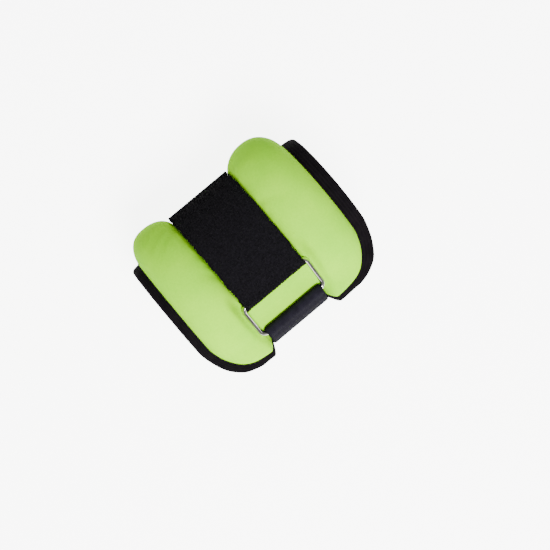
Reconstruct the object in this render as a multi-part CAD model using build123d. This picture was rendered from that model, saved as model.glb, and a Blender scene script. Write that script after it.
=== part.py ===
from build123d import *
from math import sin, cos, radians, sqrt, atan2, degrees
import os

os.makedirs("parts", exist_ok=True)

# ---------------------------------------------------------------- driving dimensions (mm)
OPEN_HALF_W = 29.0      # limb opening, half width (along Y)
OPEN_HALF_H = 21.0      # limb opening, half height (along Z)
SIDE_R = 16.0           # limb opening, radius of its two side arcs
PAD_X = (-53.0, 53.0)   # pad edges along the limb, over the binding
CORE_X = (-47.3, 48.3)  # where the cover meets the binding
VALLEY_X = (-24.9, 20.4)
STRAP_X = -2.25         # middle of strap, ring and tab
STRAP_W = 38.0
TAB_W = 36.5
VALLEY_T = 9.3          # pad thickness under the strap
LOBE_L_T = 18.0         # pad thickness at the two lobes
LOBE_R_T = 19.2
EDGE_T = 5.0            # pad thickness at its sewn edge
BIND_T = 5.4
LINER_T = 2.5
PSI_FAR = 128.0         # far end of the pad
PSI_H = 188.0           # where the pad folds as it opens
PSI_NEAR = 50.0         # the near end runs straight from here
NEAR_L = 17.0
CORE_NEAR_L = 12.0
FLOOR_Z = -38.2         # the sand fill settles flat here
FOLD_GAP = 0.25
WIRE_R = 1.3
RING_W = 44.0
RING_CORNER = 3.6
BAR_T = 12.4
BASE_T = (9.5, 10.7)
HOOK_T = (11.25, 12.4)
TAIL_T = (12.4, 13.9)
ANCHOR_T = (9.6, 12.0)

# ---------------------------------------------------------------- the oval the pad follows
c = OPEN_HALF_W - SIDE_R
FLAT_R = (c * c + OPEN_HALF_H**2 - SIDE_R**2) / (2 * (OPEN_HALF_H - SIDE_R))
h = FLAT_R - OPEN_HALF_H
BREAK = degrees(atan2(c, h))
ARCS = [(-BREAK, BREAK, (0, -h), FLAT_R), (BREAK, 180 - BREAK, (-c, 0), SIDE_R),
        (180 - BREAK, 180 + BREAK, (0, h), FLAT_R), (180 + BREAK, 360 - BREAK, (c, 0), SIDE_R),
        (360 - BREAK, 360 + BREAK, (0, -h), FLAT_R), (360 + BREAK, 540 - BREAK, (-c, 0), SIDE_R)]


def arc_of(psi):
    for a in ARCS:
        if a[0] - 1e-9 <= psi <= a[1] + 1e-9:
            return a


def pt(psi, t):
    """Point (y, z) where the pad's outward normal is psi degrees from up towards -Y, t out from the limb opening."""
    a = arc_of(psi)
    return (a[2][0] - (a[3] + t) * sin(radians(psi)), a[2][1] + (a[3] + t) * cos(radians(psi)))


def lt(l, t):
    """Point (y, z) on the straight near end, l along it and t out."""
    q = radians(PSI_NEAR)
    y, z = pt(PSI_NEAR, t)
    return (y - cos(q) * l, z - sin(q) * l)


def face_at(psi, make, a):
    d = (0, -sin(radians(psi)), cos(radians(psi)))
    pl = Plane(origin=(0, a[2][0], a[2][1]), x_dir=(1, 0, 0), z_dir=(0, -d[2], d[1]))
    return pl * make(a[3])


def sweep_round(make, p0, p1, straight=0.0):
    """The profile make(R), drawn as (x, R + t), carried round the oval from p0 to p1, then straight on."""
    out = None
    for a in ARCS:
        lo, hi = max(a[0], p0), min(a[1], p1)
        if hi - lo < 0.01:
            continue
        f = face_at(lo, make, a)
        s = revolve(f, axis=Axis((0, a[2][0], a[2][1]), (1, 0, 0)), revolution_arc=hi - lo)
        out = s if out is None else out + s
    if straight:
        a = arc_of(p1)
        f = face_at(p1, make, a)
        q = radians(p1)
        out = out + extrude(f, amount=straight, dir=(0, -cos(q), -sin(q)))
    return out


def rect(x0, x1, t0, t1):
    return lambda R: make_face(Polyline((x0, R + t0), (x1, R + t0), (x1, R + t1), (x0, R + t1), close=True))


def lobes(R):
    t0 = LINER_T
    return make_face([
        Line((CORE_X[0], R + t0), (CORE_X[0], R + EDGE_T)),
        ThreePointArc((CORE_X[0], R + EDGE_T), (-36.0, R + LOBE_L_T), (VALLEY_X[0], R + VALLEY_T)),
        Line((VALLEY_X[0], R + VALLEY_T), (VALLEY_X[1], R + VALLEY_T)),
        ThreePointArc((VALLEY_X[1], R + VALLEY_T), (34.2, R + LOBE_R_T), (CORE_X[1], R + EDGE_T)),
        Line((CORE_X[1], R + EDGE_T), (CORE_X[1], R + t0)),
        Line((CORE_X[1], R + t0), (CORE_X[0], R + t0))])


def tube(xa, xm, xb, ta, tm, tb, t0):
    return lambda R: make_face([
        Line((xa, R + t0), (xa, R + ta)),
        ThreePointArc((xa, R + ta), (xm, R + tm), (xb, R + tb)),
        Line((xb, R + tb), (xb, R + t0)), Line((xb, R + t0), (xa, R + t0))])


BAG = {"left": tube(-44.1, -36.0, -27.6, 5.0, 14.8, 7.5, 2.7), "right": tube(23.6, 34.2, 45.2, 7.5, 16.0, 5.0, 2.7)}
FILL = {"left": tube(-43.5, -36.0, -28.2, 5.0, 14.2, 7.4, 3.3), "right": tube(24.2, 34.2, 44.6, 7.4, 15.4, 5.0, 3.3)}


def prism(pts, x0=-70.0, x1=70.0):
    """(y, z) outline carried along X."""
    f = make_face(Polyline(*[(0, y, z) for y, z in pts], close=True))
    return extrude(Pos(x0, 0, 0) * f, amount=x1 - x0, dir=(1, 0, 0))


def band(path, w, x0, x1):
    """A strip of thickness w about a (y, z) path."""
    n = len(path)
    left, right = [], []
    for i in range(n):
        a, b = path[max(i - 1, 0)], path[min(i + 1, n - 1)]
        dy, dz = b[0] - a[0], b[1] - a[1]
        m = sqrt(dy * dy + dz * dz)
        ny, nz = -dz / m, dy / m
        left.append((path[i][0] + ny * w / 2, path[i][1] + nz * w / 2))
        right.append((path[i][0] - ny * w / 2, path[i][1] - nz * w / 2))
    return prism(left + right[::-1], x0, x1)


def corner_cut(o, along, out, x_lim, l_end, rx, rl):
    """What lies outside a pad end's two rounded corners; o and along are (y, z) of the end's line."""
    pl = Plane(origin=(0, o[0], o[1]), x_dir=(1, 0, 0), z_dir=(0, out[0], out[1]))
    sgn = 1 if (pl.y_dir.Y * along[0] + pl.y_dir.Z * along[1]) > 0 else -1
    cut = None
    for side in (0, 1):
        xe = x_lim[side]
        k = -1 if side == 0 else 1
        cx, cl = xe - k * rx, l_end - rl
        e = [(cx + k * rx * cos(radians(u)), sgn * (cl + rl * sin(radians(u)))) for u in range(0, 91, 10)]
        ring_pts = e + [(cx, sgn * (l_end + 60)), (xe + k * 60, sgn * (l_end + 60)), (xe + k * 60, sgn * cl)]
        f = pl * make_face(Polyline(*ring_pts, close=True))
        p = extrude(f, amount=45, dir=(0, out[0], out[1])) + extrude(f, amount=14, dir=(0, -out[0], -out[1]))
        cut = p if cut is None else cut + p
    mid = pl * make_face(Polyline((x_lim[0] - 60, sgn * l_end), (x_lim[1] + 60, sgn * l_end),
                                  (x_lim[1] + 60, sgn * (l_end + 60)), (x_lim[0] - 60, sgn * (l_end + 60)), close=True))
    p = extrude(mid, amount=45, dir=(0, out[0], out[1])) + extrude(mid, amount=14, dir=(0, -out[0], -out[1]))
    return cut + p


q = radians(PSI_NEAR)
near_o, near_dir, near_out = lt(0, 0), (-cos(q), -sin(q)), (-sin(q), cos(q))
PSI_FE = 140.0
g = radians(PSI_FE)
far_o, far_dir, far_out = pt(PSI_FE, 0), (cos(g), sin(g)), (-sin(g), cos(g))
FAR_L = 14.0
near_outer = corner_cut(near_o, near_dir, near_out, PAD_X, NEAR_L, 21.0, 30.0)
near_inner = corner_cut(near_o, near_dir, near_out, CORE_X, CORE_NEAR_L, 15.5, 25.0)
far_outer = corner_cut(far_o, far_dir, far_out, PAD_X, FAR_L, 21.0, 26.0)
far_inner = corner_cut(far_o, far_dir, far_out, CORE_X, FAR_L - 5.5, 15.5, 21.0)

# the pad thins to its sewn edge at both ends
near_taper = prism([lt(1, 20.5), lt(5, 18.5), lt(8, 14.8), lt(10.3, 9.6), lt(11.6, 5.4), lt(12.0, 5.0), lt(40, 5.0), lt(40, 60), lt(1, 60)])
far_taper = prism([pt(152, 20.5), pt(147, 18.6), pt(143, 14.5), pt(139.5, 9.6), pt(136.5, 5.4), pt(135.5, 5.0), pt(118, 5.0), pt(112, 30), pt(118, 60), pt(152, 60)])
floor_cut = Pos(0, 0, FLOOR_Z - 20) * Box(200, 200, 40)

UP0, UP1 = PSI_H + degrees(FOLD_GAP / (FLAT_R + 9)), 360 + PSI_NEAR
LO0, LO1 = PSI_FAR - 12, PSI_H - degrees(FOLD_GAP / (FLAT_R + 9))

parts = {}


def pad_half(make, tag):
    if tag == "upper":
        return sweep_round(make, UP0, UP1, 25.0)
    return sweep_round(make, LO0, LO1)


for tag, inner, outer, taper in (("upper", near_inner, near_outer, near_taper), ("lower", far_inner, far_outer, far_taper)):
    bags = {}
    b0, b1 = (PSI_H + 3, UP1 - 3.5) if tag == "upper" else (160.0, PSI_H - 3)
    for lobe in ("left", "right"):
        bag = sweep_round(BAG[lobe], b0, b1)
        fill = sweep_round(FILL[lobe], b0 + 1, b1 - 1)
        bags[lobe] = bag
        parts[f"weight_bag_{lobe}_{tag}"] = bag - fill
        parts[f"weight_fill_{lobe}_{tag}"] = fill
    cover = pad_half(lobes, tag) - taper - inner - floor_cut
    for b in bags.values():
        cover = cover - b
    parts[f"outer_cover_{tag}"] = cover
    parts[f"inner_liner_{tag}"] = pad_half(rect(CORE_X[0], CORE_X[1], 0, LINER_T), tag) - inner
    slab = pad_half(rect(PAD_X[0], PAD_X[1], 0, BIND_T), tag) - outer
    core = pad_half(rect(CORE_X[0], CORE_X[1], -1, BIND_T + 1), tag) - inner
    parts[f"edge_binding_{tag}"] = slab - core

# ---------------------------------------------------------------- ring
BU = pt(22.8, BAR_T)
BL = pt(54.0, BAR_T)
span = sqrt((BU[0] - BL[0])**2 + (BU[1] - BL[1])**2)
ring_pl = Plane(origin=(STRAP_X, (BU[0] + BL[0]) / 2, (BU[1] + BL[1]) / 2), x_dir=(1, 0, 0),
                z_dir=Vector(0, (BU[1] - BL[1]) / span, -(BU[0] - BL[0]) / span))
ring_path = ring_pl * Wire(RectangleRounded(RING_W - 2 * WIRE_R, span, RING_CORNER).edges())
ring_sec = Plane(origin=(STRAP_X, *((BL[0], BL[1]))), x_dir=(0, 1, 0), z_dir=(1, 0, 0)) * Circle(WIRE_R)
parts["ring"] = sweep(ring_sec, path=ring_path)

# ---------------------------------------------------------------- strap, sewn base and free tail
S0, S1 = STRAP_X - STRAP_W / 2, STRAP_X + STRAP_W / 2
BASE_PSI = (215.0, 360 + 22.4)
TAIL_PSI = (245.0, 360 + 18.0)
HOOK_PSI = (246.0, 278.0)
parts["strap_base"] = sweep_round(rect(S0, S1, *BASE_T), *BASE_PSI)
parts["strap_tail"] = sweep_round(rect(S0, S1, *TAIL_T), *TAIL_PSI)
parts["hook_patch"] = sweep_round(rect(S0 + 1, S1 - 1, *HOOK_T), *HOOK_PSI)


def frame_lines(x0, x1, t0, t1, p0, p1, w, wd):
    """A sewn rectangle of raised thread."""
    out = sweep_round(rect(x0, x0 + w, t0, t1), p0, p1) + sweep_round(rect(x1 - w, x1, t0, t1), p0, p1)
    out = out + sweep_round(rect(x0, x1, t0, t1), p0, p0 + wd) + sweep_round(rect(x0, x1, t0, t1), p1 - wd, p1)
    return out


parts["strap_base_stitching"] = frame_lines(S0 + 2.5, S1 - 2.5, BASE_T[1], BASE_T[1] + 0.2, 218.0, 340.0, 0.7, 1.5)
parts["hook_patch_stitching"] = frame_lines(S0 + 2.2, S1 - 2.2, TAIL_T[1], TAIL_T[1] + 0.2, 248.0, 276.0, 0.7, 1.5)

# the strap's turn round the ring's upper bar
ub = radians(22.8)
turn = []
tail_mid = sum(TAIL_T) / 2
steps = []
e_al = (-cos(ub), -sin(ub))
e_out = (-sin(ub), cos(ub))
for k in range(0, 13):
    a = radians(-90 + k * 15)
    rr = 2.35
    steps.append((BU[0] + rr * (cos(a) * e_al[0] + sin(a) * e_out[0]), BU[1] + rr * (cos(a) * e_al[1] + sin(a) * e_out[1])))
steps.append((BU[0] - 2.2 * e_al[0] + 1.9 * e_out[0], BU[1] - 2.2 * e_al[1] + 1.9 * e_out[1]))
steps.append(pt(18.9, tail_mid))
parts["strap_bend"] = band(steps, 1.2, S0 + 1.2, S1 - 1.2)

# ---------------------------------------------------------------- tab
T = pt(129.0, ANCHOR_T[1])
A0, A1 = STRAP_X - TAB_W / 2, STRAP_X + TAB_W / 2
parts["tab_anchor"] = sweep_round(rect(A0, A1, *ANCHOR_T), 129.6, 152.0)
parts["tab_anchor_stitching"] = frame_lines(A0 + 2, A1 - 2, ANCHOR_T[1], ANCHOR_T[1] + 0.2, 131.0, 150.5, 0.7, 1.5)
TH = 2.4
tg = radians(129.0)
td, tn = (cos(tg), sin(tg)), (-sin(tg), cos(tg))
t_mid = (T[0] - tn[0] * TH / 2, T[1] - tn[1] * TH / 2)
tab_path = [(t_mid[0] - 0.3 * abs(td[0]), t_mid[1] + 0.3 * abs(td[1]))]
tab_path += [(-38.6, -11.4), (-41.2, -7.6), (-42.3, -3.5), (-42.5, 0.5), (-42.1, 4.4), (-41.1, 8.2), (-39.3, 12.2), (BL[0], BL[1])]
tab = band(tab_path, TH, A0, A1)
loop_o = Plane(origin=(A0, BL[0], BL[1]), x_dir=(0, 1, 0), z_dir=(1, 0, 0))
tab = tab + extrude(loop_o * Circle(2.95), amount=TAB_W, dir=(1, 0, 0))
tab = tab - extrude(loop_o * Circle(1.75), amount=TAB_W, dir=(1, 0, 0))
parts["tab_webbing"] = tab
nb = (-41.1 + 39.3, 8.2 - 12.2)
mb = sqrt(nb[0]**2 + nb[1]**2)
ob = (nb[1] / mb, -nb[0] / mb)
p1 = (-41.1 + ob[0] * 1.2, 8.2 + ob[1] * 1.2)
p2 = (-40.6 + ob[0] * 1.2, 9.3 + ob[1] * 1.2)
parts["tab_loop_stitching"] = band([(p1[0] + ob[0] * 0.0, p1[1]), (p2[0], p2[1])], 0.5, A0 + 1.5, A1 - 1.5) - tab

# ---------------------------------------------------------------- origin at the middle of the base
boxes = [s.bounding_box() for s in parts.values()]
X = (min(b.min.X for b in boxes) + max(b.max.X for b in boxes)) / 2
Y = (min(b.min.Y for b in boxes) + max(b.max.Y for b in boxes)) / 2
Z = min(b.min.Z for b in boxes)
hy = -(FLAT_R + LOBE_R_T) * sin(radians(PSI_H))
print("shift", X, Y, Z)
for name, p in (("cuff_open", (hy, FLOOR_Z - 0.05)), ("tab_swing", T), ("ring_swivel", BL), ("strap_peel", BU)):
    print(name, [round((0 - X) / 1000, 6), round((p[0] - Y) / 1000, 6), round((p[1] - Z) / 1000, 6)])
print("box", [round(v, 2) for v in (max(b.max.X for b in boxes) - X, max(b.max.Y for b in boxes) - Y, max(b.max.Z for b in boxes) - Z)])
for name, s in parts.items():
    export_step(Pos(-X, -Y, -Z) * s, f"parts/{name}.step")
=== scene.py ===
import math
import random

import bpy
import numpy as np
from mathutils import Matrix, Vector


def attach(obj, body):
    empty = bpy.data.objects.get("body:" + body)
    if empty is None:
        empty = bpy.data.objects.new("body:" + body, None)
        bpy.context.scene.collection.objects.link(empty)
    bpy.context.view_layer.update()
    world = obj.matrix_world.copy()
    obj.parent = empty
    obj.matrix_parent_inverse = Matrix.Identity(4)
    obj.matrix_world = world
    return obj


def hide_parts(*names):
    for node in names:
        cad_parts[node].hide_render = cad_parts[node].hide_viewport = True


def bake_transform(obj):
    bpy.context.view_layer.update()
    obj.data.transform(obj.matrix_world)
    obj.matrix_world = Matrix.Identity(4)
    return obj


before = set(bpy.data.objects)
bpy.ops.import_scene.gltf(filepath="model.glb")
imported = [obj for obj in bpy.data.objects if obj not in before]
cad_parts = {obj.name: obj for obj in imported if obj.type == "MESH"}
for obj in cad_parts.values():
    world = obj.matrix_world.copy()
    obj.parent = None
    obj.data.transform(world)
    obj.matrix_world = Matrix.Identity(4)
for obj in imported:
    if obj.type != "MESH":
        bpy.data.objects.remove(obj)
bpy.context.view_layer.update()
rng = np.random.default_rng(7)

# ------------------------------------------------------------------ the oval path, mm, before the shift to the base
A_HALF, B_HALF, SIDE_R = 29.0, 21.0, 16.0
C1 = A_HALF - SIDE_R
FLAT_R = (C1 * C1 + B_HALF**2 - SIDE_R**2) / (2 * (B_HALF - SIDE_R))
H1 = FLAT_R - B_HALF
BRK = math.degrees(math.atan2(C1, H1))
SEGS = [(-BRK, BRK, (0, -H1), FLAT_R), (BRK, 180 - BRK, (-C1, 0), SIDE_R), (180 - BRK, 180 + BRK, (0, H1), FLAT_R),
        (180 + BRK, 360 - BRK, (C1, 0), SIDE_R), (360 - BRK, 360 + BRK, (0, -H1), FLAT_R), (360 + BRK, 540 - BRK, (-C1, 0), SIDE_R)]
SHIFT = np.array([0.0, -2.250864, 38.2])
XS = -2.25
PSI_NEAR = 410.0
PSI_FAR = 128.6


def place(psi, t):
    """(y, z) and the outward normal at psi, t, on the arcs; at() carries the path straight on past PSI_NEAR."""
    for a in SEGS:
        if a[0] - 1e-9 <= psi <= a[1] + 1e-9:
            q = math.radians(psi)
            n = (-math.sin(q), math.cos(q))
            return a[2][0] + (a[3] + t) * n[0], a[2][1] + (a[3] + t) * n[1], n


# arc length along the pad at a depth of 5 mm, from its far end to its near end
table_l, table_p = [0.0], [PSI_FAR]
for a in SEGS[1:]:
    lo, hi = max(a[0], PSI_FAR), min(a[1], PSI_NEAR)
    if hi > lo:
        table_l.append(table_l[-1] + math.radians(hi - lo) * (a[3] + 5))
        table_p.append(hi)
L_ARC = table_l[-1]
L_ALL = L_ARC + 18.0


def at(x, l, t):
    """Row-frame position in metres of pad coordinates: x along the limb, l round it, t out of it."""
    if l <= L_ARC:
        psi = float(np.interp(l, table_l, table_p)) if l >= 0 else PSI_FAR + math.degrees(l / (SIDE_R + 5))
        y, z, n = place(psi, t)
    else:
        y, z, n = place(PSI_NEAR, t)
        q = math.radians(PSI_NEAR)
        y -= math.cos(q) * (l - L_ARC)
        z -= math.sin(q) * (l - L_ARC)
    z = max(z, -38.15)
    return ((x + SHIFT[0]) / 1000, (y + SHIFT[1]) / 1000, (z + SHIFT[2]) / 1000)


def l_of(psi):
    return float(np.interp(psi, table_p, table_l))


def smooth(x):
    x = np.clip(x, 0, 1)
    return x * x * (3 - 2 * x)


X_LO, X_HI = -54.0, 56.0
R_X, R_L = 25.5, 27.0
WIDE = 8.0 / 5.2  # the tape lies flatter, and so looks broader, along the +x edge


def edge_x(l, inset=0.0):
    """The pad's two edges at l, with rounded corners at both ends."""
    d = min(l - inset, L_ALL - inset - l)
    rx, rl = (R_X, R_L) if l > L_ALL / 2 else (16.0, 22.0)
    rx, rl = rx - 0.85 * inset, rl - 0.85 * inset
    k = 0.0 if d >= rl else rx * (1 - math.sqrt(max(0.0, 1 - (1 - max(d, 0) / rl) ** 2.15)))
    return X_LO + inset + k, X_HI - inset * WIDE - k


def flare(x, l):
    """The near end stands off the limb beside the tab, which holds its middle down."""
    a = smooth((l - (L_ALL - 23)) / 23.0)
    b = smooth((abs(x - XS) - 16.0) / 6.5)
    return 11.0 * float(a) * float(b)


def wob(x, l, f, s=0.0):
    return math.sin(x * f * 1.3 + s) * math.sin(l * f + 1.7 * s + 0.4) + 0.5 * math.sin(x * f * 2.3 + 2.1 + s) * math.sin(l * f * 1.9 + s)


def new_mesh(name, verts, faces, uvs=None, smooth_shade=True):
    me = bpy.data.meshes.new(name)
    me.from_pydata([tuple(v) for v in verts], [], faces)
    me.validate()
    if uvs is not None:
        layer = me.uv_layers.new(name="flat")
        idx = np.zeros(len(me.loops), int)
        me.loops.foreach_get("vertex_index", idx)
        layer.data.foreach_set("uv", np.asarray(uvs, float)[idx].reshape(-1))
    if smooth_shade:
        me.polygons.foreach_set("use_smooth", [True] * len(me.polygons))
    me.update()
    ob = bpy.data.objects.new(name, me)
    bpy.context.scene.collection.objects.link(ob)
    import bmesh
    bm = bmesh.new()
    bm.from_mesh(me)
    bmesh.ops.recalc_face_normals(bm, faces=bm.faces)
    bm.to_mesh(me)
    bm.free()
    return ob


ALONG = {}


def slab(name, xs_of, ls, top, bottom, cols):
    """A closed sheet: rows at ls, columns from xs_of(l), between bottom(x, l) and top(x, l)."""
    verts, uvs, faces, along = [], [], [], []
    n = cols
    for side in (top, bottom):
        for l in ls:
            for x in xs_of(l):
                verts.append(at(x, l, side(x, l)))
                uvs.append((x / 10, l / 10))
                along.append(l)
    ALONG[name] = (along, uvs)
    m = len(ls)
    off = m * n
    for i in range(m - 1):
        for j in range(n - 1):
            a = i * n + j
            faces.append((a, a + 1, a + n + 1, a + n))
            faces.append((off + a, off + a + n, off + a + n + 1, off + a + 1))
    for i in range(m - 1):
        for j in (0, n - 1):
            a = i * n + j
            faces.append((a, a + n, off + a + n, off + a))
    for j in range(n - 1):
        for i in (0, m - 1):
            a = i * n + j
            faces.append((a, a + 1, off + a + 1, off + a))
    return new_mesh(name, verts, faces, uvs)


# the pad is made in three stretches: the far one goes with pad_lower, the near one with pad_upper, and the short one
# between them is baked in place on no body
L_FOLD = l_of(188)
L_CUT = (L_FOLD - 20.0, L_FOLD + 25.0)
STRETCHES = ("far", "fold", "near")


def stretch_of(l):
    return 0 if l < L_CUT[0] else 2 if l > L_CUT[1] else 1


def in_three(ob):
    """The far, fold and near stretches of a pad piece, sharing a row and its shading at each seam."""
    me, name = ob.data, ob.name
    along, uvs = np.array(ALONG[name][0]), np.array(ALONG[name][1])
    nv = len(me.vertices)
    co, nm = np.zeros(nv * 3), np.zeros(nv * 3)
    me.vertices.foreach_get("co", co)
    me.vertices.foreach_get("normal", nm)
    co, nm = co.reshape(-1, 3), nm.reshape(-1, 3)
    groups = ([], [], [])
    for p in me.polygons:
        vs = list(p.vertices)
        groups[stretch_of(float(np.mean(along[vs])))].append(vs)
    out = []
    for tag, faces in zip(STRETCHES, groups):
        used = sorted(set(v for f in faces for v in f))
        to = {v: k for k, v in enumerate(used)}
        m2 = bpy.data.meshes.new(name + "_" + tag)
        m2.from_pydata([tuple(co[v]) for v in used], [], [[to[v] for v in f] for f in faces])
        layer = m2.uv_layers.new(name="flat")
        idx = np.zeros(len(m2.loops), int)
        m2.loops.foreach_get("vertex_index", idx)
        layer.data.foreach_set("uv", uvs[used][idx].reshape(-1))
        m2.polygons.foreach_set("use_smooth", [True] * len(m2.polygons))
        m2.update()
        m2.normals_split_custom_set_from_vertices([tuple(nm[v]) for v in used])
        o2 = bpy.data.objects.new(name + "_" + tag, m2)
        bpy.context.scene.collection.objects.link(o2)
        out.append(o2)
    bpy.data.objects.remove(ob, do_unlink=True)
    bpy.data.meshes.remove(me)
    return out


EDGE_IN = 5.2
VALLEY_T, EDGE_T = 9.3, 4.6
L_RING0 = l_of(360 + 6)


# soft creases beside the strap: side, place along the pad, slant, half width, depth, reach (mm)
CREASES = [(-1, l_of(360 - 58), 0.35, 2.6, 0.75, 15.0), (-1, l_of(360 - 49), 0.55, 1.9, 0.5, 12.0), (-1, l_of(360 - 5), -0.3, 2.6, 0.35, 9.0),
           (1, l_of(360 - 66), 0.3, 2.8, 0.6, 14.0), (1, l_of(360 - 22), 0.45, 2.4, 0.35, 10.0), (-1, l_of(262), 0.2, 2.4, 0.6, 14.0),
           (1, l_of(250), -0.25, 2.2, 0.6, 13.0), (-1, l_of(232), -0.3, 2.0, 0.45, 12.0), (1, l_of(216), 0.3, 2.4, 0.5, 13.0)]


def valley_x(l):
    """The valley's two edges."""
    return XS - 19.3, XS + 19.3


def cover_top(x, l):
    e0, e1 = edge_x(l, EDGE_IN)
    v0, v1 = valley_x(l)
    end = min(l - EDGE_IN, L_ALL - EDGE_IN - l)
    if l > L_ALL / 2:
        fade = max(0.0, 1 - (1 - min(max(end - 0.5, 0) / 33.0, 1)) ** 2.0) ** 0.78
    else:
        fade = max(0.0, 1 - (1 - min(max(end, 0) / 15.0, 1)) ** 2.4) ** 0.5
    fade_v = math.sqrt(max(0.0, 1 - (1 - min(max(end, 0) / 9.0, 1)) ** 2.0))
    vt = EDGE_T + (VALLEY_T - EDGE_T) * fade_v
    if v0 <= x <= v1:
        q = min(x - v0, v1 - x)
        t = vt - 0.25 * float(smooth(q / 6.0))
    else:
        if x < v0:
            xi, peak = (x - (v0 + e0) / 2) / ((v0 - e0) / 2), 18.3
            base = vt + (EDGE_T - vt) * (1 - xi) / 2
        else:
            xi, peak = (x - (v1 + e1) / 2) / ((e1 - v1) / 2), 19.5
            base = vt + (EDGE_T - vt) * (1 + xi) / 2
        hump = max(0.0, 1 - min(abs(xi), 1) ** 2.35) ** 0.56
        t = base + (peak - base) * hump * fade
        t += 0.16 * wob(x, l, 0.11, 0.6) * hump * fade
        pk = max(0.0, 1 - abs(abs(xi) - 0.9) / 0.16)
        t += 0.16 * pk * math.sin(l * 0.83 + 1.9 * math.sin(l * 0.21)) * fade
        off = (v0 - x) if x < v0 else (x - v1)
        for side, lc, slope, width, depth, reach in CREASES:
            if (x < v0) == (side < 0):
                q = (l - lc - slope * off) / width
                if abs(q) < 3:
                    t -= 1.5 * depth * math.exp(-q * q) * math.exp(-(off / reach) ** 2) * min(1.0, off / 2.0) * fade
        # the ring presses a smooth hollow into the lobes' inner shoulders
        lim = 10.3 + 6.4 * (max(off, 0.0) / 5.6) ** 2
        over = t - lim
        soft = 0.9 * math.log1p(math.exp(min(over / 0.9, 30.0)))
        t -= soft * float(smooth((l - L_RING0) / 11.0)) * float(1 - smooth((l - L_RING0 - 34.0) / 12.0))
    return t + flare(x, l)


def cover_cols(l, n=150):
    """Columns bunch up where the surface turns quickly, beside the strap and at the edges."""
    e0, e1 = edge_x(l, EDGE_IN)
    v0, v1 = valley_x(l)
    n1 = 56
    mid = n - 2 * n1
    c = lambda k, m: (1 - math.cos(math.pi * k / m)) / 2
    left = [e0 + (v0 - e0) * c(k, n1) for k in range(n1)]
    middle = [v0 + (v1 - v0) * c(k, mid) for k in range(mid)]
    right = [v1 + (e1 - v1) * c(k, n1 - 1) for k in range(n1)]
    return left + middle + right


def rows(a, b, step):
    n = max(2, int(round((b - a) / step)))
    return [a + (b - a) * k / n for k in range(n + 1)]


def pad_rows(inset):
    n = 240
    lo, hi = inset, L_ALL - inset
    out = []
    for k in range(n + 1):
        s = k / n
        out.append(lo + (hi - lo) * (s + 0.35 * (-(math.sin(2 * math.pi * s)) / (2 * math.pi))))
    return out


cover = slab("pad_cover", cover_cols, pad_rows(EDGE_IN), cover_top, lambda x, l: 2.7 + flare(x, l), 150)


def liner_cols(l, n=60):
    e0, e1 = edge_x(l, EDGE_IN)
    return [e0 + (e1 - e0) * k / (n - 1) for k in range(n)]


liner = slab("pad_liner", liner_cols, pad_rows(EDGE_IN), lambda x, l: 2.65 + flare(x, l),
             lambda x, l: 0.0 + flare(x, l) + 0.12 * wob(x, l, 0.16, 1.1), 60)


# ------------------------------------------------------------------ outline of the pad, as (x, l), going round once
def outline():
    pts = []
    ls = rows(0.0, L_ALL, 0.9)
    # the corner curves need rows close together at both ends
    near = [R_L * (k / 40) ** 2 for k in range(41)]
    ls = sorted(set([round(v, 4) for v in near + [L_ALL - v for v in near] + [l for l in ls if R_L < l < L_ALL - R_L]]))
    left = [(edge_x(l)[0], l) for l in ls]
    right = [(edge_x(l)[1], l) for l in reversed(ls)]
    top = [(x, L_ALL) for x in np.linspace(left[-1][0], right[0][0], 66)[1:-1]]
    bot = [(x, 0.0) for x in np.linspace(right[-1][0], left[0][0], 66)[1:-1]]
    pts = left + top + right + bot
    # even spacing
    p = np.array(pts + [pts[0]])
    d = np.r_[0, np.cumsum(np.linalg.norm(np.diff(p, axis=0), axis=1))]
    n = int(d[-1] / 0.9)
    s = np.linspace(0, d[-1], n + 1)[:-1]
    q = np.c_[np.interp(s, d, p[:, 0]), np.interp(s, d, p[:, 1])]
    for _ in range(6):
        q = (np.roll(q, 1, 0) + 2 * q + np.roll(q, -1, 0)) / 4
    tan = np.roll(q, -1, 0) - np.roll(q, 1, 0)
    tan /= np.linalg.norm(tan, axis=1)[:, None]
    inn = np.c_[tan[:, 1], -tan[:, 0]]
    centre = np.array([0.0, L_ALL / 2])
    if np.mean(np.sum(inn * (centre - q), axis=1)) < 0:
        inn = -inn
    return q, inn, s


OUT_Q, OUT_IN, OUT_S = outline()


def round_edge(name, section, uv_scale=1.0):
    """A section of (inward, t) points carried round the pad's outline."""
    verts, uvs, faces, along = [], [], [], []
    n, m = len(OUT_Q), len(section)
    for i in range(n):
        x0, l0 = OUT_Q[i]
        ix, il = OUT_IN[i]
        ripple = 0.13 * math.sin(OUT_S[i] * 0.55 + 1.2 * math.sin(OUT_S[i] * 0.13))
        broad = 1 + (WIDE - 1) * float(smooth((x0 - 22.0) / 24.0))
        for k, (d, t) in enumerate(section):
            x, l = x0 + ix * d * broad, l0 + il * d * broad
            verts.append(at(x, l, t + flare(x, l) + ripple * (1 if t > 2.5 else 0.4)))
            uvs.append((k / m * 1.6, OUT_S[i] / 10))
            along.append(l0)
    ALONG[name] = (along, uvs)
    for i in range(n):
        for k in range(m):
            a, b = i * m + k, i * m + (k + 1) % m
            c, d = ((i + 1) % n) * m + (k + 1) % m, ((i + 1) % n) * m + k
            faces.append((a, b, c, d))
    return new_mesh(name, verts, faces, uvs)


tape = [(6.3, 4.85), (6.2, 5.25), (5.7, 5.45), (4.6, 5.45), (3.2, 5.35), (1.8, 5.1), (0.8, 4.6), (0.2, 3.8), (0.0, 2.6), (0.2, 1.3), (0.8, 0.4),
        (1.8, -0.2), (3.2, -0.4), (4.6, -0.45), (5.7, -0.4), (6.2, -0.2), (6.3, 0.1), (6.0, 0.6), (5.6, 2.6), (6.0, 4.4)]
binding = round_edge("edge_tape", tape)


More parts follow.
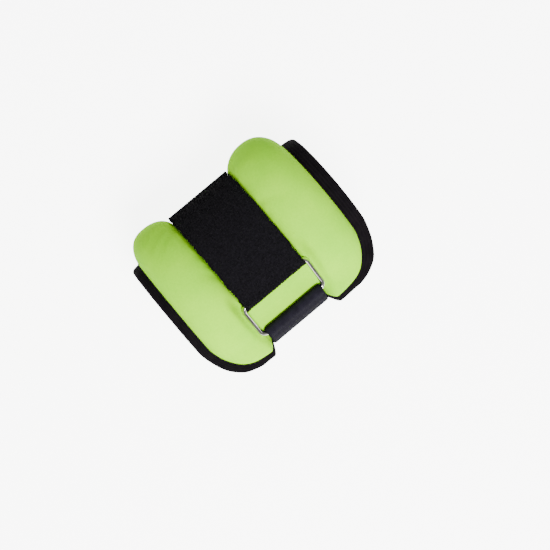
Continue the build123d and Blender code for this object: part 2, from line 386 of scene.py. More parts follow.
# ------------------------------------------------------------------ stitches
def tube_bits(name, segs, r, sides=6):
    """Short rounded threads from a to b, each bowed out along its normal."""
    verts, faces = [], []
    for a, b, nrm in segs:
        a, b, nrm = np.array(a), np.array(b), np.array(nrm)
        d = b - a
        ln = np.linalg.norm(d)
        d = d / ln
        u = np.cross(d, nrm)
        u /= np.linalg.norm(u)
        v = np.cross(u, d)
        base = len(verts)
        prof = [(0.0, 0.35, -0.35), (0.14, 0.85, 0.15), (0.5, 1.0, 0.45), (0.86, 0.85, 0.15), (1.0, 0.35, -0.35)]
        for s, k, up in prof:
            cpos = a + d * ln * s + v * r * up
            for j in range(sides):
                an = 2 * math.pi * j / sides
                verts.append(cpos + r * k * (math.cos(an) * u + math.sin(an) * v))
        for i in range(len(prof) - 1):
            for j in range(sides):
                p, q = base + i * sides + j, base + i * sides + (j + 1) % sides
                faces.append((p, q, q + sides, p + sides))
        faces.append(tuple(base + j for j in range(sides)))
        faces.append(tuple(base + (len(prof) - 1) * sides + j for j in range(sides)))
    return new_mesh(name, verts, faces)


def stitch_line(fn, pts, pitch, fill=0.72):
    """fn maps flat (a, b) to (position, normal); pts is the line through flat space in mm."""
    p = np.array(pts, float)
    d = np.r_[0, np.cumsum(np.linalg.norm(np.diff(p, axis=0), axis=1))]
    n = max(1, int(d[-1] / pitch))
    out = []
    for k in range(n):
        s0, s1 = d[-1] * (k + (1 - fill) / 2) / n, d[-1] * (k + 1 - (1 - fill) / 2) / n
        a = (np.interp(s0, d, p[:, 0]), np.interp(s0, d, p[:, 1]))
        b = (np.interp(s1, d, p[:, 0]), np.interp(s1, d, p[:, 1]))
        pa, na = fn(*a)
        pb, nb = fn(*b)
        out.append((pa, pb, na))
    return out


def on_pad(t_of):
    def f(x, l):
        t = t_of(x, l)
        p, q = np.array(at(x, l, t)), np.array(at(x, l, t + 1))
        n = q - p
        return p, n / (np.linalg.norm(n) + 1e-12)
    return f


seam_pts = np.array([OUT_Q[i] + OUT_IN[i] * 5.0 * (1 + (WIDE - 1) * float(smooth((OUT_Q[i][0] - 22.0) / 24.0))) for i in list(range(len(OUT_Q))) + [0]])
seam_d = np.r_[0, np.cumsum(np.linalg.norm(np.diff(seam_pts, axis=0), axis=1))]
seam = stitch_line(on_pad(lambda x, l: 5.5 + flare(x, l)), seam_pts, 2.9)
seam_l = [float(np.interp(seam_d[-1] * (k + 0.5) / len(seam), seam_d, seam_pts[:, 1])) for k in range(len(seam))]
edge_stitches = [tube_bits("edge_tape_stitching_" + tag, [s for s, l in zip(seam, seam_l) if stretch_of(l) == k], 0.00021)
                 for k, tag in enumerate(STRETCHES)]


# ------------------------------------------------------------------ weight bags and their fill, inside the cover
def bag(name, side, l0, l1, reach, depth, floor_t):
    def cols(l):
        e0, e1 = edge_x(l, EDGE_IN)
        v0, v1 = valley_x(l)
        a, b = (e0, v0) if side < 0 else (v1, e1)
        return [(a + b) / 2 + (b - a) / 2 * reach * (-1 + 2 * k / 23) for k in range(24)]
    return slab(name, cols, rows(l0, l1, 2.0), lambda x, l: max(cover_top(x, l) - depth, floor_t + 1.2 + flare(x, l)), lambda x, l: floor_t + flare(x, l), 24)


BAGS, FILLS = [], []
for tag, l0, l1 in (("lower", 19.0, L_FOLD - 10.0), ("upper", L_FOLD + 13.0, L_ALL - 25.0)):
    for word, side in (("left", -1), ("right", 1)):
        BAGS.append((bag("bag_%s_%s" % (word, tag), side, l0, l1, 0.78, 2.2, 4.4), word, tag))
        FILLS.append((bag("sand_%s_%s" % (word, tag), side, l0 + 1.2, l1 - 1.2, 0.72, 3.2, 5.4), word, tag))

# ------------------------------------------------------------------ strap: one centre line for base, turn and free end
BAR_T = 12.4
by, bz, bn = place(22.8, BAR_T)
ly, lz, ln_ = place(54.0, BAR_T)
BU, BL = np.array([by, bz]), np.array([ly, lz])
eo = np.array(bn)
ea = np.array([-math.cos(math.radians(22.8)), -math.sin(math.radians(22.8))])


def strap_line():
    """Points (y, z), the way out, and running length, from the sewn end round the bar to the tip."""
    pts = []
    for psi in np.arange(215.0, 378.01, 1.0):
        p = place(psi if psi < 360 else psi, 10.1)
        pts.append((p[0], p[1]))
    n_base = len(pts)
    rr = 2.15
    for k in range(0, 19):
        a = math.radians(-90 + k * 10)
        c = BU + np.array([0, 0])
        pts.append(tuple(c + rr * (math.cos(a) * ea + math.sin(a) * eo)))
    n_turn = len(pts)
    for psi in np.arange(18.0, -115.01, -1.0):
        lift = 1.35 * float(smooth((psi - 4.0) / 16.0)) + 0.25 * math.sin(psi * 0.09)
        p = place(psi if psi > -BRK else psi + 360, 13.05 + lift)
        pts.append((p[0], p[1]))
    return np.array(pts), n_base, n_turn


LINE, N_BASE, N_TURN = strap_line()


def resample(p, step):
    d = np.r_[0, np.cumsum(np.linalg.norm(np.diff(p, axis=0), axis=1))]
    n = max(2, int(round(d[-1] / step)))
    s = np.linspace(0, d[-1], n + 1)
    return np.c_[np.interp(s, d, p[:, 0]), np.interp(s, d, p[:, 1])], s


FINE, FINE_S = resample(LINE, 0.4)
for _ in range(10):
    FINE[1:-1] = (FINE[:-2] + 2 * FINE[1:-1] + FINE[2:]) / 4
TAN = np.gradient(FINE, axis=0)
TAN /= np.linalg.norm(TAN, axis=1)[:, None]
NRM = np.c_[TAN[:, 1], -TAN[:, 0]]  # points away from the bar on the turn
if (NRM[5] @ (FINE[5])) > 0:
    pass
d_bar = np.linalg.norm(FINE - BU, axis=1)
i_turn = int(np.argmax(((FINE - BU) @ ea) * (d_bar < 4)))
if NRM[i_turn] @ (FINE[i_turn] - BU) < 0:
    NRM = -NRM
LEN_AT = FINE_S
s_bar = FINE_S[i_turn]
I1 = int(np.searchsorted(FINE_S, s_bar - 5.2))
I2 = int(np.searchsorted(FINE_S, s_bar + 6.2))


def ribbon(name, i0, i1, width, thick, fuzz, cols=90, taper_end=False, edge_wave=0.35):
    """Strap stretch between two points of the centre line, with a rounded edge and pile."""
    idx = list(range(i0, i1 + 1))
    prof = []
    hw, ht = width / 2, thick / 2
    for k in range(cols):
        u = -1 + 2 * k / (cols - 1)
        prof.append((u * hw, ht))
    under = [(-p[0], -ht) for p in prof]
    verts, uvs, faces = [], [], []
    m = 2 * cols
    for c, i in enumerate(idx):
        s = FINE_S[i]
        wv = edge_wave * (0.6 * math.sin(s * 0.31 + 0.7) + 0.4 * math.sin(s * 0.73 + 2.0) + 0.25 * math.sin(s * 1.9))
        wv2 = edge_wave * (0.6 * math.sin(s * 0.27 + 3.1) + 0.4 * math.sin(s * 0.81 + 0.4) + 0.25 * math.sin(s * 2.1 + 1))
        for side, row in ((1, prof), (-1, under)):
            for (x, t) in row:
                u = x / hw
                rnd = max(0.0, (abs(u) - 0.955) / 0.045)
                tt = t * math.sqrt(max(0.0, 1 - rnd * rnd)) if rnd > 0 else t
                xx = x + (wv if u > 0 else wv2) * abs(u) ** 3
                nz = rng.normal(0, 1) * fuzz if side > 0 else 0
                y = FINE[i, 0] + NRM[i, 0] * (tt + nz)
                z = FINE[i, 1] + NRM[i, 1] * (tt + nz)
                xx += rng.normal(0, 1) * fuzz * 1.2 * (abs(u) > 0.97)
                verts.append(((xx + XS) / 1000, (y + SHIFT[1]) / 1000, (z + SHIFT[2]) / 1000))
                uvs.append((x / 10, s / 10))
    n = len(idx)
    for i in range(n - 1):
        for j in range(m):
            a, b = i * m + j, i * m + (j + 1) % m
            faces.append((a, b, b + m, a + m))
    for i in (0, n - 1):
        for j in range(cols - 1):
            a = i * m + j
            o = i * m + (m - 1 - j)
            faces.append((a, a + 1, o - 1, o))
    return new_mesh(name, verts, faces, uvs)


base_strip = ribbon("strap_base_layer", 0, I1, 38.0, 1.2, 0.03, cols=60, edge_wave=0.25)
turn_strip = ribbon("strap_turn", I1, I2, 37.9, 1.3, 0.09, cols=150, edge_wave=0.3)
tail_strip = ribbon("strap_free_layer", I2, len(FINE_S) - 1, 38.0, 1.45, 0.10, cols=150, edge_wave=0.45)


def pile(name, i0, i1, count, seed, ht=0.7, r=0.00006):
    """Small loops of brushed pile standing on the strap's outer face and edges."""
    g = np.random.default_rng(seed)
    verts, faces = [], []
    for _ in range(count):
        i = int(g.integers(i0, i1))
        edge = g.random() < 0.14
        u = (1 if g.random() < 0.5 else -1) * g.uniform(0.965, 1.0) if edge else g.uniform(-1, 1)
        x = u * 18.9
        up = np.array([0, NRM[i, 0], NRM[i, 1]])
        al = np.array([0, TAN[i, 0], TAN[i, 1]])
        ac = np.array([1.0, 0, 0])
        p0 = np.array([(x + XS) / 1000, (FINE[i, 0] + NRM[i, 0] * ht + SHIFT[1]) / 1000, (FINE[i, 1] + NRM[i, 1] * ht + SHIFT[2]) / 1000])
        th = g.uniform(0, 2 * math.pi)
        dirn = math.cos(th) * al + math.sin(th) * ac
        if edge:
            dirn = 0.6 * dirn + np.sign(u) * ac * 0.9
            dirn /= np.linalg.norm(dirn)
        hh, ww = g.uniform(0.18, 0.42) / 1000, g.uniform(0.35, 0.8) / 1000
        side = np.cross(dirn, up)
        side /= np.linalg.norm(side) + 1e-9
        b = len(verts)
        for s, k in ((0.0, -0.1), (0.25, 0.8), (0.6, 1.0), (1.0, 0.25)):
            c = p0 + dirn * ww * s + up * hh * k
            verts.append(c - side * r)
            verts.append(c + side * r)
            verts.append(c + up * r * 1.6)
        for q in range(3):
            a = b + q * 3
            for e in range(3):
                faces.append((a + e, a + (e + 1) % 3, a + 3 + (e + 1) % 3, a + 3 + e))
        faces.append((b, b + 1, b + 2))
        faces.append((b + 9, b + 10, b + 11))
    return new_mesh(name, verts, faces)


tail_pile = pile("strap_free_layer_pile", I2, len(FINE_S) - 2, 13000, 11)
turn_pile = pile("strap_turn_pile", I1 + 4, I2, 2600, 12, ht=0.64)


def on_tail(x, s):
    i = int(np.clip(np.searchsorted(FINE_S, s), 1, len(FINE_S) - 2))
    n = np.array([0, NRM[i, 0], NRM[i, 1]])
    p = np.array([x + XS, FINE[i, 0] + NRM[i, 0] * 0.8 + SHIFT[1], FINE[i, 1] + NRM[i, 1] * 0.8 + SHIFT[2]]) / 1000
    return p, n


S_END = FINE_S[-1]
hook_stitch = tube_bits("hook_patch_thread", stitch_line(on_tail, [(-16.5, S_END - 2.5), (16.5, S_END - 2.5), (16.5, S_END - 22), (-16.5, S_END - 22), (-16.5, S_END - 2.5)], 2.6), 0.00024)
base_stitch = tube_bits("strap_base_thread",
                        stitch_line(lambda x, s: (lambda i: (np.array([x + XS, FINE[i, 0] + NRM[i, 0] * 0.62 + SHIFT[1], FINE[i, 1] + NRM[i, 1] * 0.62 + SHIFT[2]]) / 1000,
                                                             np.array([0, NRM[i, 0], NRM[i, 1]])))(int(np.clip(np.searchsorted(FINE_S, s), 1, len(FINE_S) - 2))),
                                    [(-16.5, 3.0), (16.5, 3.0), (16.5, s_bar - 38), (-16.5, s_bar - 38), (-16.5, 3.0)], 2.8), 0.0002)


def hook_patch_mesh():
    """Hook tape under the free end: a thin sheet with rows of small hooks."""
    verts, faces = [], []
    i0, i1 = int(np.searchsorted(FINE_S, S_END - 31)), len(FINE_S) - 4
    rows_i = list(range(i0, i1))
    m = 4
    for i in rows_i:
        for x, t in ((-17.6, -0.75), (17.6, -0.75), (17.6, -1.15), (-17.6, -1.15)):
            verts.append(((x + XS) / 1000, (FINE[i, 0] + NRM[i, 0] * t + SHIFT[1]) / 1000, (FINE[i, 1] + NRM[i, 1] * t + SHIFT[2]) / 1000))
    for i in range(len(rows_i) - 1):
        for j in range(m):
            a, b = i * m + j, i * m + (j + 1) % m
            faces.append((a, b, b + m, a + m))
    faces.append((0, 1, 2, 3))
    e = (len(rows_i) - 1) * m
    faces.append((e, e + 1, e + 2, e + 3))
    for i in rows_i[2:-2:4]:
        for x in np.arange(-17.0, 17.1, 1.7):
            b = len(verts)
            w = 0.16
            for dx, ds, t in ((-w, -w, -1.1), (w, -w, -1.1), (w, w, -1.1), (-w, w, -1.1), (-w + 0.3, -w, -1.62), (w + 0.3, -w, -1.62), (w + 0.3, w, -1.62), (-w + 0.3, w, -1.62)):
                p = FINE[i] + TAN[i] * ds + NRM[i] * t
                verts.append(((x + dx + XS) / 1000, (p[0] + SHIFT[1]) / 1000, (p[1] + SHIFT[2]) / 1000))
            for f in ((0, 1, 5, 4), (1, 2, 6, 5), (2, 3, 7, 6), (3, 0, 4, 7), (4, 5, 6, 7), (0, 3, 2, 1)):
                faces.append(tuple(b + v for v in f))
    return new_mesh("hook_tape", verts, faces, smooth_shade=False)


hook = hook_patch_mesh()

# ------------------------------------------------------------------ ring
RW, WIRE, RC = 44.0 - 2.6, 1.3, 3.6
span = float(np.linalg.norm(BU - BL))
ring_up = (BU - BL) / span
mid = (BU + BL) / 2
ring_pts = []
for cx, cv, a0 in ((RW / 2 - RC, span / 2 - RC, 0), (-RW / 2 + RC, span / 2 - RC, 90), (-RW / 2 + RC, -span / 2 + RC, 180), (RW / 2 - RC, -span / 2 + RC, 270)):
    for k in range(13):
        a = math.radians(a0 + k * 7.5)
        ring_pts.append((cx + RC * math.cos(a), cv + RC * math.sin(a)))
rp = np.array(ring_pts)
rp3 = np.c_[rp[:, 0] + XS, mid[0] + ring_up[0] * rp[:, 1] + SHIFT[1], mid[1] + ring_up[1] * rp[:, 1] + SHIFT[2]] / 1000
ring_n = np.array([0, -ring_up[1], ring_up[0]])
verts, faces = [], []
nr, ns = len(rp3), 28
for i in range(nr):
    tg = rp3[(i + 1) % nr] - rp3[i - 1]
    tg /= np.linalg.norm(tg)
    u = np.cross(tg, ring_n)
    for j in range(ns):
        a = 2 * math.pi * j / ns
        verts.append(rp3[i] + WIRE / 1000 * (math.cos(a) * u + math.sin(a) * ring_n))
for i in range(nr):
    for j in range(ns):
        faces.append((i * ns + j, i * ns + (j + 1) % ns, ((i + 1) % nr) * ns + (j + 1) % ns, ((i + 1) % nr) * ns + j))
ring = new_mesh("wire_ring", verts, faces)

# ------------------------------------------------------------------ tab: webbing from the far end, round the lower bar and back on itself
TW = 36.5


def tab_mesh(name, pts, thick, cols=44, closed_ring=False, width=TW, uv0=0.0):
    p, s = resample(np.array(pts), 0.45)
    for _ in range(8):
        p[1:-1] = (p[:-2] + 2 * p[1:-1] + p[2:]) / 4
    t = np.gradient(p, axis=0)
    t /= np.linalg.norm(t, axis=1)[:, None]
    nn = np.c_[t[:, 1], -t[:, 0]]
    verts, uvs, faces = [], [], []
    m = 2 * cols
    hw, ht = width / 2, thick / 2
    for i in range(len(p)):
        for side in (1, -1):
            for k in range(cols):
                u = (-1 + 2 * k / (cols - 1)) * side
                rnd = max(0.0, (abs(u) - 0.96) / 0.04)
                tt = side * ht * math.sqrt(max(0.0, 1 - rnd * rnd * 0.92))
                rib = 0.035 * math.sin(u * hw * 5.2)
                q = p[i] + nn[i] * (tt + side * rib)
                verts.append(((u * hw + XS) / 1000, (q[0] + SHIFT[1]) / 1000, (q[1] + SHIFT[2]) / 1000))
                uvs.append((u * hw / 10, (s[i] + uv0) / 10))
    n = len(p)
    for i in range(n - 1):
        for j in range(m):
            a, b = i * m + j, i * m + (j + 1) % m
            faces.append((a, b, b + m, a + m))
    for i in (0, n - 1):
        for j in range(cols - 1):
            a, o = i * m + j, i * m + (m - 1 - j)
            faces.append((a, a + 1, o - 1, o))
    return new_mesh(name, verts, faces, uvs), p, s, nn


ty, tz, tn = place(129.0, 12.0)
tmid = np.array([ty - tn[0] * 1.2, tz - tn[1] * 1.2])
el = np.array(ln_)
tl = np.array([-math.cos(math.radians(54)), -math.sin(math.radians(54))])
web = 1.1
lead = [np.array(place(psi, tt)[:2]) for psi, tt in ((139.5, 11.35), (137.0, 11.45), (134.5, 11.5), (132.0, 11.35), (130.0, 11.0))]
path = lead + [tmid + np.array([-0.2, 0.25]), np.array([-38.9, -11.4]), np.array([-41.6, -7.6]), np.array([-42.75, -3.5]),
        np.array([-43.0, 0.5]), np.array([-42.75, 4.6]), np.array([-41.95, 8.6]), np.array([-40.55, 12.6])]
loop_r = 2.3
loop = [BL + loop_r * (math.cos(math.radians(a)) * el + math.sin(math.radians(a)) * tl) for a in range(35, -216, -8)]
inner = [np.array([-37.35, 12.6]), np.array([-39.35, 9.0]), np.array([-40.75, 5.2]), np.array([-41.3, 2.2])]
tab, tab_p, tab_s, tab_n = tab_mesh("tab_webbing_loop", path + loop + inner, web)

anchor_pts = [np.array(place(psi, 10.45)[:2]) for psi in np.arange(152.0, 129.3, -1.0)]
anchor, an_p, an_s, an_n = tab_mesh("tab_sewn_end", anchor_pts, 1.3)


def on_anchor(x, s):
    i = int(np.clip(np.searchsorted(an_s, s), 0, len(an_p) - 1))
    n = an_n[i]
    if n @ an_p[i] < 0:
        n = -n
    p = np.array([x + XS, an_p[i, 0] + n[0] * 0.72 + SHIFT[1], an_p[i, 1] + n[1] * 0.72 + SHIFT[2]]) / 1000
    return p, np.array([0, n[0], n[1]])


AE = an_s[-1]
box = [(-15.5, 1.5), (15.5, 1.5), (15.5, AE - 1.5), (-15.5, AE - 1.5), (-15.5, 1.5)]
anchor_stitch = tube_bits("tab_sewn_end_thread", stitch_line(on_anchor, box, 2.3) + stitch_line(on_anchor, [(-15.5, 1.5), (15.5, AE - 1.5)], 2.3)
                          + stitch_line(on_anchor, [(15.5, 1.5), (-15.5, AE - 1.5)], 2.3), 0.00024)


def on_tab(x, s):
    i = int(np.clip(np.searchsorted(tab_s, s), 0, len(tab_p) - 1))
    n = tab_n[i]
    if n @ tab_p[i] < 0:
        n = -n
    p = np.array([x + XS, tab_p[i, 0] + n[0] * 0.62 + SHIFT[1], tab_p[i, 1] + n[1] * 0.62 + SHIFT[2]]) / 1000
    return p, np.array([0, n[0], n[1]])


s_a = 22.5
tab_stitch = tube_bits("tab_loop_thread", stitch_line(on_tab, [(-16.5, s_a), (16.5, s_a)], 2.3) + stitch_line(on_tab, [(-16.5, s_a - 1.8), (16.5, s_a - 1.8)], 2.3), 0.00022)


# ------------------------------------------------------------------ materials
def mat(name):
    m = bpy.data.materials.new(name)
    m.use_nodes = True
    nt = m.node_tree
    return m, nt, nt.nodes["Principled BSDF"], nt.links


def node(nt, kind, **kw):
    n = nt.nodes.new(kind)
    for k, v in kw.items():
        setattr(n, k, v)
    return n


def knit_material(name, c_lo, c_hi, rough=0.85, sheen=0.0, scale=9.0, bump=0.25):
    m, nt, p, lk = mat(name)
    uv = node(nt, "ShaderNodeUVMap", uv_map="flat")
    tc = node(nt, "ShaderNodeTexCoord")
    big = node(nt, "ShaderNodeTexNoise")
    big.inputs["Scale"].default_value = 38.0
    big.inputs["Detail"].default_value = 3.0
    lk.new(tc.outputs["Object"], big.inputs["Vector"])
    fine = node(nt, "ShaderNodeTexNoise")
    fine.inputs["Scale"].default_value = 900.0
    fine.inputs["Detail"].default_value = 4.0
    lk.new(tc.outputs["Object"], fine.inputs["Vector"])
    mp = node(nt, "ShaderNodeMapping")
    mp.inputs["Scale"].default_value = (scale, scale * 1.25, 1)
    lk.new(uv.outputs["UV"], mp.inputs["Vector"])
    vor = node(nt, "ShaderNodeTexVoronoi")
    vor.inputs["Scale"].default_value = 1.6
    vor.inputs["Randomness"].default_value = 0.35
    lk.new(mp.outputs["Vector"], vor.inputs["Vector"])
    mix = node(nt, "ShaderNodeMath", operation="MULTIPLY_ADD")
    lk.new(fine.outputs["Fac"], mix.inputs[0])
    mix.inputs[1].default_value = 0.55
    lk.new(big.outputs["Fac"], mix.inputs[2])
    ramp = node(nt, "ShaderNodeValToRGB")
    ramp.color_ramp.elements[0].position = 0.45
    ramp.color_ramp.elements[1].position = 1.05
    ramp.color_ramp.elements[0].color = (*c_lo, 1)
    ramp.color_ramp.elements[1].color = (*c_hi, 1)
    lk.new(mix.outputs[0], ramp.inputs["Fac"])
    lk.new(ramp.outputs["Color"], p.inputs["Base Color"])
    rr = node(nt, "ShaderNodeMapRange")
    rr.inputs["To Min"].default_value = rough - 0.07
    rr.inputs["To Max"].default_value = rough + 0.08
    lk.new(big.outputs["Fac"], rr.inputs["Value"])
    lk.new(rr.outputs["Result"], p.inputs["Roughness"])
    b1 = node(nt, "ShaderNodeBump")
    b1.inputs["Strength"].default_value = bump
    b1.inputs["Distance"].default_value = 0.00018
    lk.new(vor.outputs["Distance"], b1.inputs["Height"])
    b2 = node(nt, "ShaderNodeBump")
    b2.inputs["Strength"].default_value = bump
    b2.inputs["Distance"].default_value = 0.00025
    lk.new(fine.outputs["Fac"], b2.inputs["Height"])
    lk.new(b1.outputs["Normal"], b2.inputs["Normal"])
    lk.new(b2.outputs["Normal"], p.inputs["Normal"])
    p.inputs["Sheen Weight"].default_value = sheen
    p.inputs["Sheen Roughness"].default_value = 0.45
    p.inputs["Specular IOR Level"].default_value = 0.06
    return m


def weave_material(name, c_lo, c_hi, rough, sheen, su, sv, bump, spec=0.4):
    m, nt, p, lk = mat(name)
    uv = node(nt, "ShaderNodeUVMap", uv_map="flat")
    tc = node(nt, "ShaderNodeTexCoord")
    w1 = node(nt, "ShaderNodeTexWave", bands_direction="X")
    w1.inputs["Scale"].default_value = su
    w1.inputs["Distortion"].default_value = 0.6
    w1.inputs["Detail"].default_value = 2.0
    w2 = node(nt, "ShaderNodeTexWave", bands_direction="Y")
    w2.inputs["Scale"].default_value = sv
    w2.inputs["Distortion"].default_value = 0.6
    lk.new(uv.outputs["UV"], w1.inputs["Vector"])
    lk.new(uv.outputs["UV"], w2.inputs["Vector"])
    mul = node(nt, "ShaderNodeMath", operation="MULTIPLY")
    lk.new(w1.outputs["Fac"], mul.inputs[0])
    lk.new(w2.outputs["Fac"], mul.inputs[1])
    nz = node(nt, "ShaderNodeTexNoise")
    nz.inputs["Scale"].default_value = 260.0
    nz.inputs["Detail"].default_value = 5.0
    lk.new(tc.outputs["Object"], nz.inputs["Vector"])
    add = node(nt, "ShaderNodeMath", operation="MULTIPLY_ADD")
    lk.new(mul.outputs[0], add.inputs[0])
    add.inputs[1].default_value = 0.6
    lk.new(nz.outputs["Fac"], add.inputs[2])
    ramp = node(nt, "ShaderNodeValToRGB")
    ramp.color_ramp.elements[0].position = 0.3
    ramp.color_ramp.elements[1].position = 1.0
    ramp.color_ramp.elements[0].color = (*c_lo, 1)
    ramp.color_ramp.elements[1].color = (*c_hi, 1)
    lk.new(add.outputs[0], ramp.inputs["Fac"])
    lk.new(ramp.outputs["Color"], p.inputs["Base Color"])
    rr = node(nt, "ShaderNodeMapRange")
    rr.inputs["To Min"].default_value = rough - 0.08
    rr.inputs["To Max"].default_value = rough + 0.1
    lk.new(nz.outputs["Fac"], rr.inputs["Value"])
    lk.new(rr.outputs["Result"], p.inputs["Roughness"])
    b = node(nt, "ShaderNodeBump")
    b.inputs["Strength"].default_value = bump
    b.inputs["Distance"].default_value = 0.0002
    lk.new(add.outputs[0], b.inputs["Height"])
    lk.new(b.outputs["Normal"], p.inputs["Normal"])
    p.inputs["Sheen Weight"].default_value = sheen
    p.inputs["Sheen Roughness"].default_value = 0.5
    p.inputs["Specular IOR Level"].default_value = spec
    return m


def noise_material(name, c_lo, c_hi, rough, scale, bump, metal=0.0, sheen=0.0, dist=0.0002, spread=0.08, spec=0.5):
    m, nt, p, lk = mat(name)
    tc = node(nt, "ShaderNodeTexCoord")
    nz = node(nt, "ShaderNodeTexNoise")
    nz.inputs["Scale"].default_value = scale
    nz.inputs["Detail"].default_value = 6.0
    nz.inputs["Roughness"].default_value = 0.6
    lk.new(tc.outputs["Object"], nz.inputs["Vector"])
    ramp = node(nt, "ShaderNodeValToRGB")
    ramp.color_ramp.elements[0].position = 0.35
    ramp.color_ramp.elements[1].position = 0.68
    ramp.color_ramp.elements[0].color = (*c_lo, 1)
    ramp.color_ramp.elements[1].color = (*c_hi, 1)
    lk.new(nz.outputs["Fac"], ramp.inputs["Fac"])
    lk.new(ramp.outputs["Color"], p.inputs["Base Color"])
    rr = node(nt, "ShaderNodeMapRange")
    rr.inputs["To Min"].default_value = max(0.02, rough - spread)
    rr.inputs["To Max"].default_value = rough + spread
    lk.new(nz.outputs["Fac"], rr.inputs["Value"])
    lk.new(rr.outputs["Result"], p.inputs["Roughness"])
    b = node(nt, "ShaderNodeBump")
    b.inputs["Strength"].default_value = bump
    b.inputs["Distance"].default_value = dist
    lk.new(nz.outputs["Fac"], b.inputs["Height"])
    lk.new(b.outputs["Normal"], p.inputs["Normal"])
    p.inputs["Metallic"].default_value = metal
    p.inputs["Sheen Weight"].default_value = sheen
    p.inputs["Specular IOR Level"].default_value = spec
    return m


GREEN_LO, GREEN_HI = (0.240, 0.670, 0.0005), (0.345, 0.810, 0.003)
m_neo = knit_material("lime_neoprene", GREEN_LO, GREEN_HI)
m_liner = knit_material("lime_neoprene_skin_side", (0.19, 0.50, 0.004), (0.28, 0.63, 0.012), rough=0.88, sheen=0.0)
m_bind = weave_material("bias_tape", (0.0018, 0.0013, 0.0020), (0.0065, 0.005, 0.0068), 0.85, 0.0, 5.0, 7.0, 0.5, spec=0.04)
m_web = weave_material("woven_webbing", (0.003, 0.0027, 0.005), (0.012, 0.011, 0.018), 0.85, 0.0, 4.6, 6.5, 0.4, spec=0.05)
m_pile = noise_material("loop_pile", (0.0015, 0.0013, 0.0022), (0.0075, 0.0068, 0.0095), 0.95, 1100.0, 0.8, sheen=0.02, dist=0.0005, spec=0.08)
m_hook = noise_material("hook_tape", (0.010, 0.010, 0.012), (0.022, 0.022, 0.026), 0.45, 500.0, 0.3)
m_thread = noise_material("black_thread", (0.003, 0.0027, 0.0036), (0.010, 0.009, 0.012), 0.65, 2200.0, 0.5, dist=0.0001, spec=0.15)
m_ring = noise_material("nickel_plate", (0.60, 0.58, 0.54), (0.80, 0.78, 0.74), 0.16, 70.0, 0.05, metal=1.0, dist=0.0001, spread=0.06)
m_bag = noise_material("weight_bag_film", (0.05, 0.05, 0.055), (0.11, 0.11, 0.12), 0.35, 90.0, 0.4, dist=0.0006)
m_sand = noise_material("iron_sand", (0.03, 0.028, 0.026), (0.16, 0.15, 0.14), 0.7, 1500.0, 1.0, metal=0.3, dist=0.0008)


def dress(ob, m, body=None, nodes=()):
    ob.data.materials.clear()
    ob.data.materials.append(m)
    if body:
        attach(ob, body)
    if nodes:
        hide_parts(*nodes)


def pad_three(parts, m, upper=(), lower=()):
    far, middle, near = parts
    dress(far, m, "pad_lower", lower)
    dress(near, m, "pad_upper", upper)
    dress(middle, m)
    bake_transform(middle)


covers = in_three(cover)
pad_three(covers, m_neo, ("outer_cover_upper",), ("outer_cover_lower",))
pad_three(in_three(liner), m_liner, ("inner_liner_upper",), ("inner_liner_lower",))
pad_three(in_three(binding), m_bind, ("edge_binding_upper",), ("edge_binding_lower",))
pad_three(edge_stitches, m_thread)
for ob, word, tag in BAGS:
    dress(ob, m_bag, "pad_" + tag, ("weight_bag_%s_%s" % (word, tag),))
for ob, word, tag in FILLS:
    dress(ob, m_sand, "pad_" + tag, ("weight_fill_%s_%s" % (word, tag),))

dress(base_strip, m_pile, "pad_upper", ("strap_base",))
dress(base_stitch, m_thread, "pad_upper", ("strap_base_stitching",))
dress(tail_strip, m_pile, "strap_free_end", ("strap_tail",))
dress(tail_pile, m_pile, "strap_free_end")
dress(hook, m_hook, "strap_free_end", ("hook_patch",))
dress(hook_stitch, m_thread, "strap_free_end", ("hook_patch_stitching",))
for ob, nodes in ((turn_strip, ("strap_bend",)), (turn_pile, ())):
    dress(ob, m_pile, None, nodes)
    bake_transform(ob)
dress(ring, m_ring, "ring", ("ring",))
dress(tab, m_web, None, ("tab_webbing",))
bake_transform(tab)
dress(tab_stitch, m_thread, "tab", ("tab_loop_stitching",))
dress(anchor, m_web, "pad_lower", ("tab_anchor",))
dress(anchor_stitch, m_thread, "pad_lower", ("tab_anchor_stitching",))

# ------------------------------------------------------------------ floor, light and camera
bpy.ops.mesh.primitive_plane_add(size=40, location=(0, 0, -0.0002))
floor = bpy.context.object
floor.name = "floor"
mf, ntf, pf, lkf = mat("pale_floor")
fz = node(ntf, "ShaderNodeTexNoise")
fz.inputs["Scale"].default_value = 3.0
fr = node(ntf, "ShaderNodeValToRGB")
fr.color_ramp.elements[0].color = (0.93, 0.93, 0.935, 1)
fr.color_ramp.elements[1].color = (0.96, 0.96, 0.96, 1)
lkf.new(fz.outputs["Fac"], fr.inputs["Fac"])
lkf.new(fr.outputs["Color"], pf.inputs["Base Color"])
pf.inputs["Roughness"].default_value = 0.9
pf.inputs["Emission Color"].default_value = (1, 1, 1, 1)
seen = node(ntf, "ShaderNodeLightPath")
lift = node(ntf, "ShaderNodeMath", operation="MULTIPLY_ADD")
lkf.new(seen.outputs["Is Camera Ray"], lift.inputs[0])
lift.inputs[1].default_value = 5.0
lift.inputs[2].default_value = 1.2
lkf.new(lift.outputs[0], pf.inputs["Emission Strength"])
floor.data.materials.append(mf)

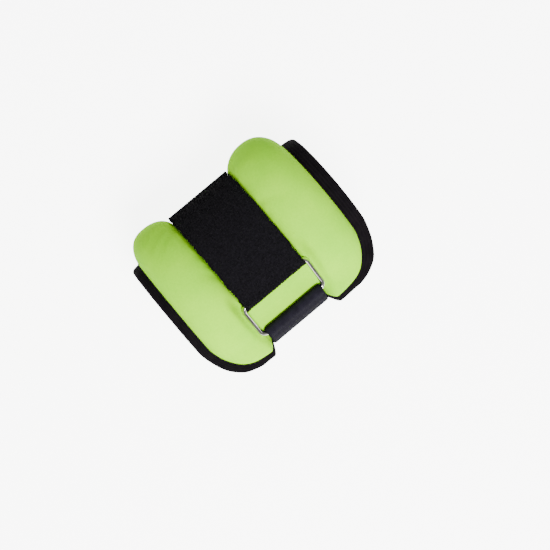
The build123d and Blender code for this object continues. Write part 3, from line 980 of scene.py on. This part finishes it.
r0, u0 = Vector((0.76717, -0.64145, 0)), Vector((0.64145, 0.76717, 0))
tilt = math.radians(2.7)
back = Vector((-math.sin(tilt), 0, math.cos(tilt)))
right = (r0 - back * r0.dot(back)).normalized()
up = back.cross(right)
centre = Vector((0, SHIFT[1] / 1000, SHIFT[2] / 1000))
PX = 1.90
DIST = 0.68
aim = centre + right * (23 / PX / 1000) - up * (20 / PX / 1000)
cam_d = bpy.data.cameras.new("camera")
cam_d.sensor_width = 36.0
cam_d.lens = 36.0 * PX * DIST * 1000 / 550
cam = bpy.data.objects.new("camera", cam_d)
bpy.context.scene.collection.objects.link(cam)
m4 = Matrix((right, up, back)).transposed().to_4x4()
m4.translation = aim + back * DIST
cam.matrix_world = m4
cam_d.clip_start, cam_d.clip_end = 0.01, 20
bpy.context.scene.camera = cam


def area(name, direction, dist, size, power, colour=(1, 1, 1)):
    d = bpy.data.lights.new(name, "AREA")
    d.shape = "SQUARE"
    d.size = size
    d.energy = power
    d.color = colour
    o = bpy.data.objects.new(name, d)
    bpy.context.scene.collection.objects.link(o)
    v = Vector(direction).normalized()
    o.location = centre + v * dist
    o.rotation_mode = "QUATERNION"
    o.rotation_quaternion = v.to_track_quat("Z", "Y")
    return o


area("key", right * 0.24 - up * 0.56 + Vector((0, 0, 1.0)), 1.3, 0.6, 45.0, (1.0, 0.985, 0.96))
area("top", right * 0.1 - up * 0.1 + Vector((0, 0, 1.0)), 1.6, 1.2, 5.0)
area("rim", right * -0.9 + up * 0.3 + Vector((0, 0, 0.5)), 1.4, 0.9, 0.8, (0.96, 0.98, 1.0))
w = bpy.data.worlds.new("studio")
w.use_nodes = True
w.node_tree.nodes["Background"].inputs["Color"].default_value = (1, 1, 1, 1)
wl = node(w.node_tree, "ShaderNodeLightPath")
wm = node(w.node_tree, "ShaderNodeMath", operation="MULTIPLY_ADD")
w.node_tree.links.new(wl.outputs["Is Camera Ray"], wm.inputs[0])
wm.inputs[1].default_value = 5.0
wm.inputs[2].default_value = 0.20
w.node_tree.links.new(wm.outputs[0], w.node_tree.nodes["Background"].inputs["Strength"])
bpy.context.scene.world = w
